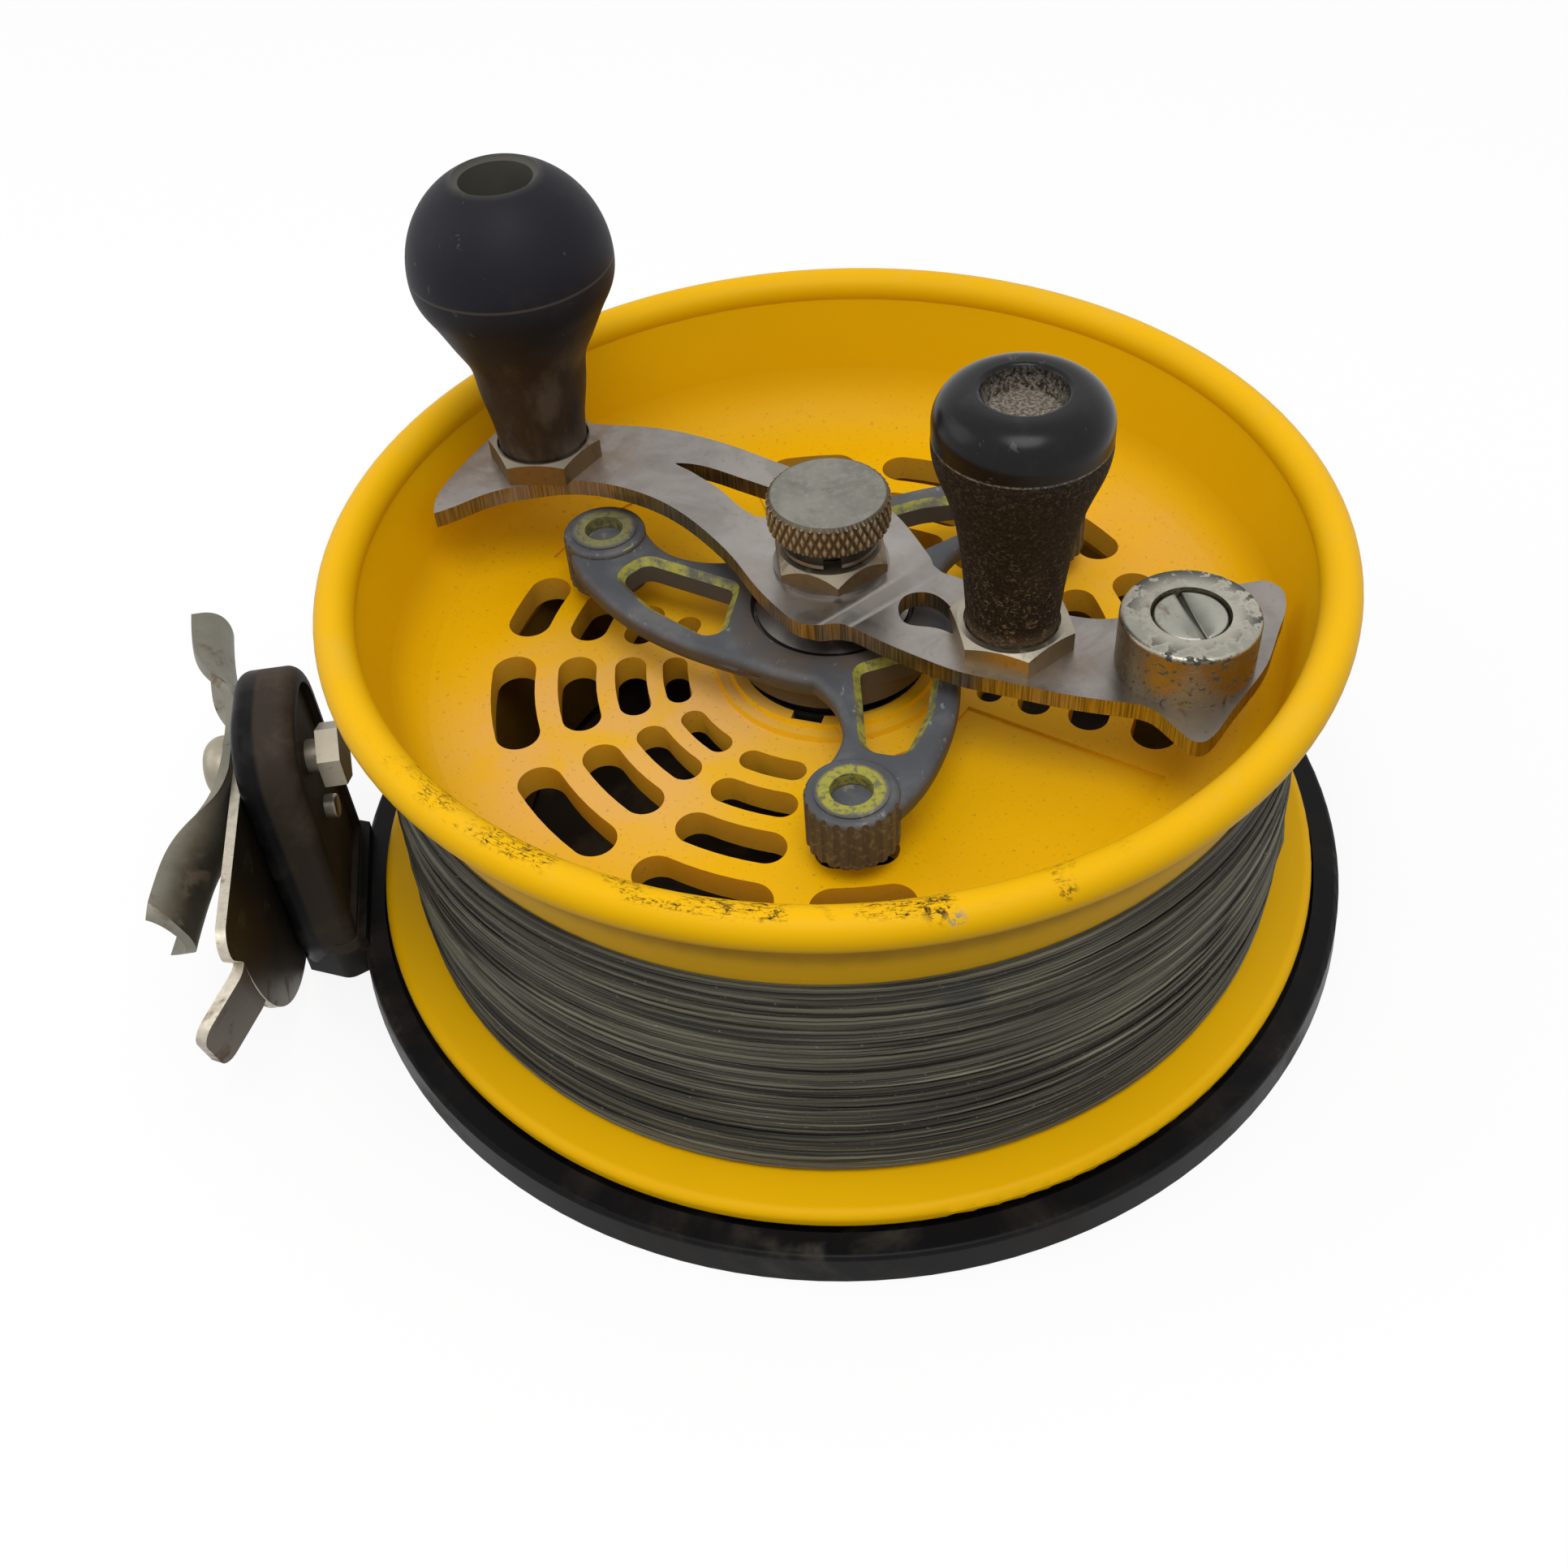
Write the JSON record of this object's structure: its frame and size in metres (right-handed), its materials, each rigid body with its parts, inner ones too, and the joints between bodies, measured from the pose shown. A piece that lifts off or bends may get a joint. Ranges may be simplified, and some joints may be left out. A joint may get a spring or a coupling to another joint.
{
  "type": "surf fishing reel",
  "caption": "Side cast surf reel: slotted dished spool on a fixed spindle, star drag, S-shaped crank with two knobs, and a swivelling foot.",
  "frame": {"origin": "on the spool's axis, in the plane of the back plate's rest face", "axes": "+Z along the spool's axis towards the handle; -X towards the bracket and the rod; Y along the rod"},
  "size_m": [0.2039, 0.182, 0.1205],
  "materials": {
    "black_plastic": "moulded, satin black",
    "yellow_spool": "moulded, deep yellow, worn gloss",
    "line": "fine grey-brown line",
    "stainless": "stainless, dulled",
    "counterweight_metal": "turned, stained brown",
    "hardened_steel": "hardened",
    "bushing": "sintered bush",
    "rubber_seal": "black",
    "friction": "fibre",
    "star_metal": "anodised dark grey, edges worn",
    "knurled": "diamond knurled, stained",
    "dark_knob": "dark grey, satin",
    "grip": "textured"
  },
  "bodies": {
    "reel_frame": {"back_plate": "black_plastic", "spindle": "stainless", "spindle_nut": "stainless", "spindle_washer": "stainless", "pawl_pin": "stainless", "pawl_spring": "stainless", "pivot_bolt": "stainless", "pivot_nut": "stainless", "detent_screw": "stainless", "retaining_washer": "stainless"},
    "foot": {"swivel_plate": "stainless", "reel_foot": "stainless"},
    "crank": {"crank_sleeve": "stainless", "ratchet_wheel": "hardened_steel", "pressure_washer": "stainless", "spring_washers": "stainless", "plate_collar": "stainless", "handle_plate": "stainless", "lock_washer": "stainless", "handle_nut": "stainless", "ball_knob_axle": "stainless", "ball_knob_nut": "stainless", "tapered_knob_axle": "stainless", "tapered_knob_nut": "stainless", "counterweight": "counterweight_metal", "counterweight_screw": "stainless"},
    "spool_body": {"spool": "yellow_spool", "spool_rim": "yellow_spool", "line_core": "line", "line_turns": "line", "rear_bush": "bushing", "front_bush": "bushing", "hub_seal": "rubber_seal", "drag_disc": "stainless", "friction_washer": "friction"},
    "thrust": {"thrust_washer": "stainless"},
    "star": {"star_wheel": "star_metal", "star_insert": "stainless"},
    "ball_grip": {"ball_knob": "dark_knob"},
    "tapered_grip": {"tapered_knob": "grip", "tapered_knob_cap": "dark_knob"},
    "lock_knob": {"release_knob": "knurled"},
    "pawl_body": {"pawl": "hardened_steel"}
  },
  "joints": [
    {"name": "crank_turn", "type": "hinge", "parent": "reel_frame", "child": "crank", "pos_m": [0, 0, 0], "axis": [0, 0, 1], "continuous": true},
    {"name": "spool_slip", "type": "hinge", "parent": "crank", "child": "spool_body", "pos_m": [0, 0, 0], "axis": [0, 0, 1], "continuous": true},
    {"name": "thrust_lift", "type": "slide", "parent": "crank", "child": "thrust", "axis": [0, 0, 1], "range_m": [0, 0.00075], "deforming": ["spring_washers"]},
    {"name": "star_turn", "type": "hinge", "parent": "thrust", "child": "star", "pos_m": [0, 0, 0], "axis": [0, 0, 1], "range_deg": [0, 270]},
    {"name": "ball_knob_spin", "type": "hinge", "parent": "crank", "child": "ball_grip", "pos_m": [-0.0444, 0.0396, 0.1], "axis": [0, 0, 1], "continuous": true},
    {"name": "tapered_knob_spin", "type": "hinge", "parent": "crank", "child": "tapered_grip", "pos_m": [0.0246, -0.022, 0.1], "axis": [0, 0, 1], "continuous": true},
    {"name": "lock_knob_turn", "type": "hinge", "parent": "reel_frame", "child": "lock_knob", "pos_m": [0, 0, 0.08], "axis": [0, 0, 1], "range_deg": [0, 90]},
    {"name": "foot_swing", "type": "hinge", "parent": "reel_frame", "child": "foot", "pos_m": [-0.1006, 0, 0.041], "axis": [1, 0, 0], "range_deg": [-90, 0]},
    {"name": "pawl_lift", "type": "hinge", "parent": "reel_frame", "child": "pawl_body", "pos_m": [0.015, -0.026, 0.014], "axis": [0, 0, 1], "range_deg": [-8, 0]}
  ],
  "couplings": [
    {"joint": "thrust_lift", "follows": "star_turn", "m_per_rad": 0.00015915}
  ]
}
